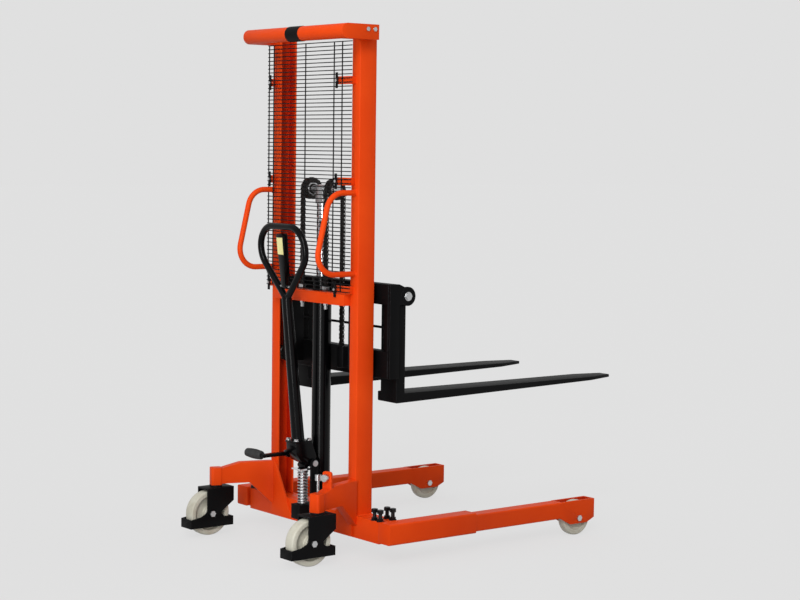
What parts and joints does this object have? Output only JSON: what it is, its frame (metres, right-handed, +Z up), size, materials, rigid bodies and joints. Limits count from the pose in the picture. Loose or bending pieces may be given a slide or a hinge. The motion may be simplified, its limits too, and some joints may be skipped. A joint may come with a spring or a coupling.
{
  "type": "hand pallet stacker",
  "caption": "Hand-pumped straddle pallet stacker: channel mast with chain-lifted fork carriage, adjustable legs, swivel casters, wire guard and pump tiller.",
  "frame": {"origin": "floor level under the middle of the bounding box", "axes": "+X along the forks, +Y to the operator's left seen from behind the tiller, +Z up"},
  "size_m": [1.684, 1.05, 2.0315],
  "materials": {
    "orange_paint": "satin gloss",
    "black_paint": "gloss",
    "black_screws": "blackened",
    "oiled_steel": "oiled",
    "zinc_steel": "zinc plated",
    "chrome_rod": "polished",
    "black_rubber": "matt",
    "pale_label": "satin",
    "cream_nylon": "satin"
  },
  "bodies": {
    "frame": {"mast_left": "orange_paint", "mast_right": "orange_paint", "base_beam": "orange_paint", "clamp_screws": "black_screws", "top_bar": "orange_paint", "top_bar_sleeve": "black_paint", "mid_crossbar": "orange_paint", "chain_anchors": "zinc_steel", "guard_mesh": "black_paint", "guard_brackets": "orange_paint", "guard_clamps": "black_paint", "frame_bolts": "zinc_steel", "grab_handles": "orange_paint", "lift_cylinder": "black_paint", "cylinder_gland": "black_paint", "caster_arm_left": "orange_paint", "caster_arm_right": "orange_paint", "pump_block": "black_paint", "pivot_pin": "zinc_steel", "return_spring": "zinc_steel", "chain_rear_runs": "oiled_steel"},
    "crosshead": {"piston_rod": "chrome_rod", "crosshead_yoke": "zinc_steel", "wheel_axle": "zinc_steel", "chain_wraps": "oiled_steel", "chain_front_runs": "oiled_steel"},
    "wheels_of_chain": {"chain_wheels": "oiled_steel"},
    "carriage": {"carriage_top_bar": "black_paint", "carriage_lower_bar": "black_paint", "carriage_uprights": "black_paint", "carriage_plates": "black_paint", "fork_end_plates": "black_paint", "fork_shaft": "zinc_steel", "tie_rod": "black_paint", "roller_stubs": "oiled_steel"},
    "rollers_upper": {"upper_rollers": "oiled_steel"},
    "rollers_lower": {"lower_rollers": "oiled_steel"},
    "tiller": {"tiller_seat": "black_paint", "tiller_shaft": "black_paint", "tiller_loop": "black_paint", "tiller_pins": "zinc_steel"},
    "lever": {"release_lever": "black_paint", "label_plate": "pale_label"},
    "pump_plunger": {"plunger": "chrome_rod"},
    "pedal": {"foot_pedal": "black_paint", "pedal_pad": "black_rubber"},
    "fork_left": {"fork_left": "black_paint"},
    "leg_left": {"leg_left": "orange_paint", "load_axle_left": "zinc_steel"},
    "load_wheel_left": {"load_wheel_left": "cream_nylon"},
    "caster_left": {"caster_fork_left": "black_paint", "caster_pins_left": "zinc_steel"},
    "caster_wheel_left": {"caster_wheel_left": "cream_nylon"},
    "fork_right": {"fork_right": "black_paint"},
    "leg_right": {"leg_right": "orange_paint", "load_axle_right": "zinc_steel"},
    "load_wheel_right": {"load_wheel_right": "cream_nylon"},
    "caster_right": {"caster_fork_right": "black_paint", "caster_pins_right": "zinc_steel"},
    "caster_wheel_right": {"caster_wheel_right": "cream_nylon"}
  },
  "joints": [
    {"name": "piston_lift", "type": "slide", "parent": "frame", "child": "crosshead", "axis": [0, 0, 1], "range_m": [-0.265, 0.49], "deforming": ["chain_rear_runs"]},
    {"name": "carriage_lift", "type": "slide", "parent": "crosshead", "child": "carriage", "axis": [0, 0, 1], "range_m": [-0.265, 0.49], "deforming": ["chain_front_runs"]},
    {"name": "chain_wheel_turn", "type": "hinge", "parent": "crosshead", "child": "wheels_of_chain", "pos_m": [-0.435, 0, 1.402], "axis": [0, 1, 0], "continuous": true},
    {"name": "upper_roller_turn", "type": "hinge", "parent": "carriage", "child": "rollers_upper", "pos_m": [-0.4365, 0, 0.995], "axis": [0, 1, 0], "continuous": true},
    {"name": "lower_roller_turn", "type": "hinge", "parent": "carriage", "child": "rollers_lower", "pos_m": [-0.4365, 0, 0.732], "axis": [0, 1, 0], "continuous": true},
    {"name": "tiller_swing", "type": "hinge", "parent": "frame", "child": "tiller", "pos_m": [-0.494, 0, 0.322], "axis": [0, -1, 0], "range_deg": [0, 60], "stiffness_Nm_per_rad": 70, "springref_deg": -40.11},
    {"name": "plunger_stroke", "type": "slide", "parent": "frame", "child": "pump_plunger", "axis": [0, 0, 1], "range_m": [-0.03, 0], "deforming": ["return_spring"]},
    {"name": "lever_pull", "type": "hinge", "parent": "tiller", "child": "lever", "pos_m": [-0.60911, 0, 1.02348], "axis": [0, 1, 0], "range_deg": [-10, 10], "stiffness_Nm_per_rad": 4},
    {"name": "pedal_press", "type": "hinge", "parent": "tiller", "child": "pedal", "pos_m": [-0.558, 0.05, 0.356], "axis": [0, -1, 0], "range_deg": [0, 20], "stiffness_Nm_per_rad": 12, "springref_deg": -20.05},
    {"name": "fork_left_slide", "type": "slide", "parent": "carriage", "child": "fork_left", "axis": [0, -1, 0], "range_m": [0, 0.17]},
    {"name": "leg_left_slide", "type": "slide", "parent": "frame", "child": "leg_left", "axis": [0, 1, 0], "range_m": [0, 0.2]},
    {"name": "load_wheel_left_roll", "type": "hinge", "parent": "leg_left", "child": "load_wheel_left", "pos_m": [0.491, 0.487, 0.072], "axis": [0, 1, 0], "continuous": true},
    {"name": "caster_left_swivel", "type": "hinge", "parent": "frame", "child": "caster_left", "pos_m": [-0.702, 0.353, 0.2], "axis": [0, 0, 1], "continuous": true},
    {"name": "caster_wheel_left_roll", "type": "hinge", "parent": "caster_left", "child": "caster_wheel_left", "pos_m": [-0.742, 0.353, 0.09], "axis": [0, 1, 0], "continuous": true},
    {"name": "fork_right_slide", "type": "slide", "parent": "carriage", "child": "fork_right", "axis": [0, 1, 0], "range_m": [0, 0.17]},
    {"name": "leg_right_slide", "type": "slide", "parent": "frame", "child": "leg_right", "axis": [0, -1, 0], "range_m": [0, 0.2]},
    {"name": "load_wheel_right_roll", "type": "hinge", "parent": "leg_right", "child": "load_wheel_right", "pos_m": [0.491, -0.487, 0.072], "axis": [0, 1, 0], "continuous": true},
    {"name": "caster_right_swivel", "type": "hinge", "parent": "frame", "child": "caster_right", "pos_m": [-0.702, -0.353, 0.2], "axis": [0, 0, 1], "continuous": true},
    {"name": "caster_wheel_right_roll", "type": "hinge", "parent": "caster_right", "child": "caster_wheel_right", "pos_m": [-0.742, -0.353, 0.09], "axis": [0, 1, 0], "continuous": true}
  ],
  "couplings": [
    {"joint": "carriage_lift", "follows": "piston_lift", "ratio": 1},
    {"joint": "chain_wheel_turn", "follows": "piston_lift", "rad_per_m": -25},
    {"joint": "upper_roller_turn", "follows": "piston_lift", "rad_per_m": 67.797},
    {"joint": "lower_roller_turn", "follows": "piston_lift", "rad_per_m": -67.797},
    {"joint": "plunger_stroke", "follows": "tiller_swing", "m_per_rad": -0.0275}
  ]
}
